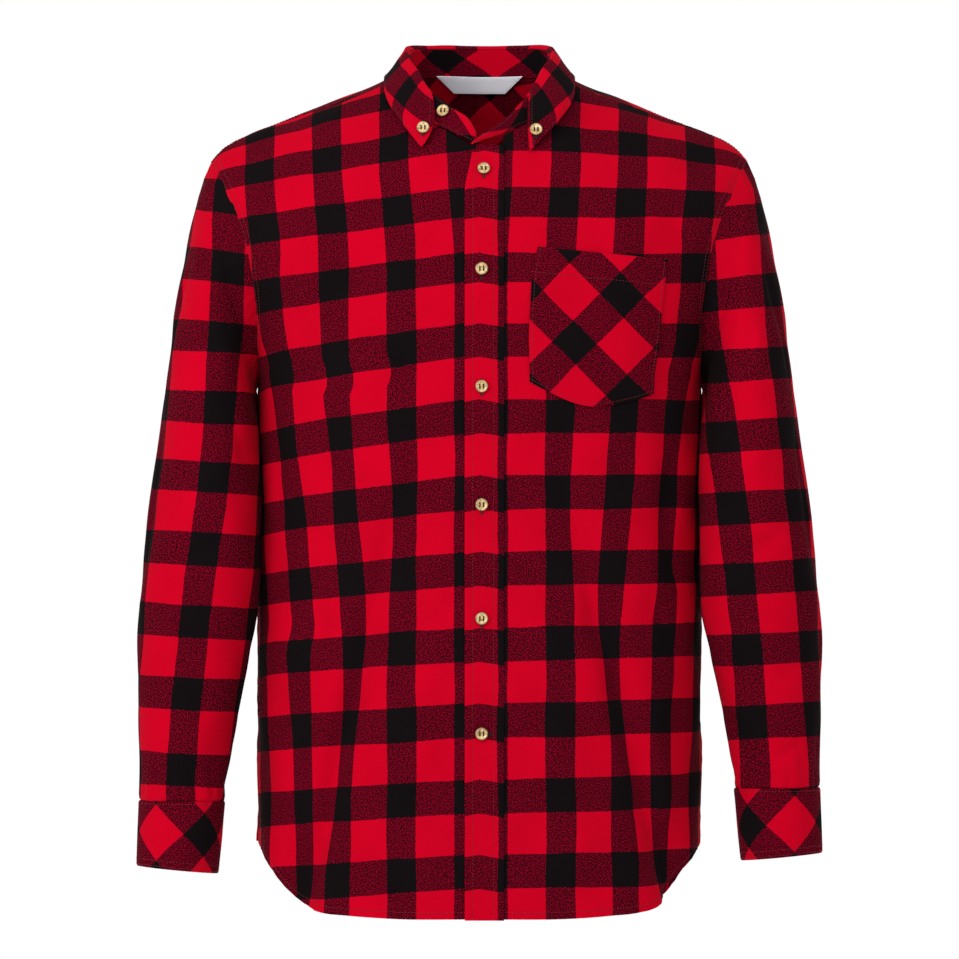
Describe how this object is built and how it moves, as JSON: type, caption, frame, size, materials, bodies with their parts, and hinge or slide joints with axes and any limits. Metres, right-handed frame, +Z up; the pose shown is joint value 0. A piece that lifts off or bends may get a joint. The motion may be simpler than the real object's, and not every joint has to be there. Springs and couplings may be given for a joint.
{
  "type": "flannel shirt",
  "caption": "Long-sleeved checked flannel shirt with a button-down collar, button front, chest pocket and buttoned cuffs, worn and hollow.",
  "frame": {"origin": "between the shoulders, under the neck, at the middle of the height that the shoulders carry, on the plane of the side seams", "axes": "+Z up; the front faces -Y; +X towards the wearer's left"},
  "size_m": [0.6356, 0.2655, 0.8128],
  "materials": {
    "flannel": "brushed cotton, woven red and black check",
    "flannel_bias": "brushed cotton, the same check cut on the bias",
    "label": "satin woven label, blank",
    "button": "polished horn colour"
  },
  "bodies": {
    "root": {"back": "flannel", "button_collar_left": "button", "button_collar_right": "button", "button_cuff_left": "button", "button_cuff_right": "button", "button_front_1": "button", "button_front_2": "button", "button_front_3": "button", "button_front_4": "button", "button_front_5": "button", "button_front_6": "button", "button_neck": "button", "collar_leaf": "flannel", "collar_stand": "flannel_bias", "cuff_left": "flannel_bias", "cuff_right": "flannel_bias", "front_left": "flannel", "front_right": "flannel", "neck_label": "label", "placket": "flannel", "pocket": "flannel_bias", "sleeve_left": "flannel", "sleeve_placket_left": "flannel", "sleeve_placket_right": "flannel", "sleeve_right": "flannel", "yoke": "flannel_bias"}
  },
  "joints": []
}
